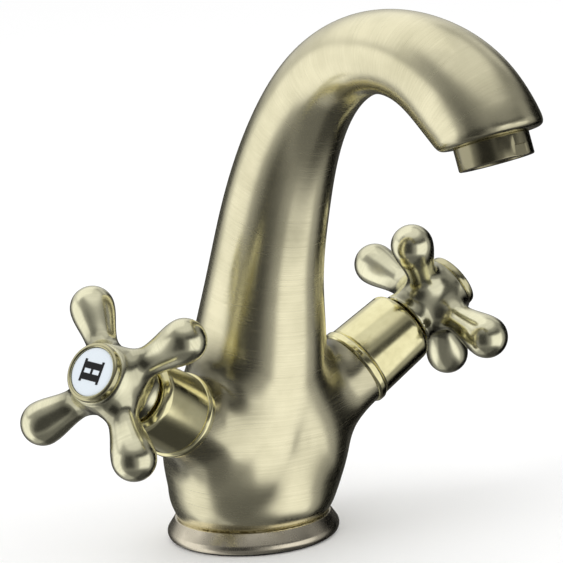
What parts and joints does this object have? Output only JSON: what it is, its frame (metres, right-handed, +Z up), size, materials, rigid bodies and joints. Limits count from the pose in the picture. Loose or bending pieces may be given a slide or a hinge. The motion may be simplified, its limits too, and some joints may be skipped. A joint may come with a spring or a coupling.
{
  "type": "cross handle basin mixer tap",
  "caption": "Deck-mounted basin mixer in antique brushed bronze: arched swan-neck spout, hot and cold cross handles with white index badges, round base.",
  "frame": {"origin": "centre of the base's underside, on the deck surface", "axes": "+Z up from the deck, spout towards -Y, hot handle on -X, cold handle on +X"},
  "size_m": [0.1676, 0.1494, 0.1665],
  "materials": {
    "cast_bronze": "antique bronze, brushed satin",
    "base_bronze": "antique bronze, dark brushed satin",
    "outlet_bronze": "antique bronze, satin",
    "handle_bronze": "antique bronze, satin",
    "polished_bronze": "antique bronze, semi-polished",
    "cap_bronze": "antique bronze, semi-polished",
    "brass": "machined brass",
    "enamel": "white gloss",
    "black_paint": "black enamel paint",
    "ceramic": "lapped alumina",
    "rubber": "matt",
    "fibre": "red fibre",
    "white_plastic": "matt",
    "steel": "plain stainless steel"
  },
  "bodies": {
    "tap_body": {"body": "cast_bronze", "base_ring": "base_bronze", "base_gasket": "rubber", "aerator_ring": "outlet_bronze", "outlet_seal": "rubber", "aerator_cartridge": "white_plastic", "aerator_screen": "steel", "hot_seat_seal": "rubber", "hot_fixed_disc": "ceramic", "hot_bonnet": "brass", "hot_washer": "fibre", "hot_collar": "polished_bronze", "hot_shroud": "polished_bronze", "cold_seat_seal": "rubber", "cold_fixed_disc": "ceramic", "cold_bonnet": "brass", "cold_washer": "fibre", "cold_collar": "polished_bronze", "cold_shroud": "polished_bronze"},
    "hot_turner": {"hot_moving_disc": "ceramic", "hot_spindle": "brass", "hot_spindle_orings": "rubber", "hot_clip": "steel", "hot_handle": "handle_bronze", "hot_handle_screw": "steel", "hot_index_cap": "cap_bronze", "hot_badge": "enamel", "hot_mark": "black_paint"},
    "cold_turner": {"cold_moving_disc": "ceramic", "cold_spindle": "brass", "cold_spindle_orings": "rubber", "cold_clip": "steel", "cold_handle": "handle_bronze", "cold_handle_screw": "steel", "cold_index_cap": "cap_bronze", "cold_badge": "enamel", "cold_mark": "black_paint"}
  },
  "joints": [
    {"name": "hot_turn", "type": "hinge", "parent": "tap_body", "child": "hot_turner", "pos_m": [0, -0.0025, 0.0253], "axis": [-0.8471, -0.1801, 0.5], "range_deg": [0, 90]},
    {"name": "cold_turn", "type": "hinge", "parent": "tap_body", "child": "cold_turner", "pos_m": [0, -0.0025, 0.0253], "axis": [0.8471, -0.1801, 0.5], "range_deg": [-90, 0]}
  ]
}
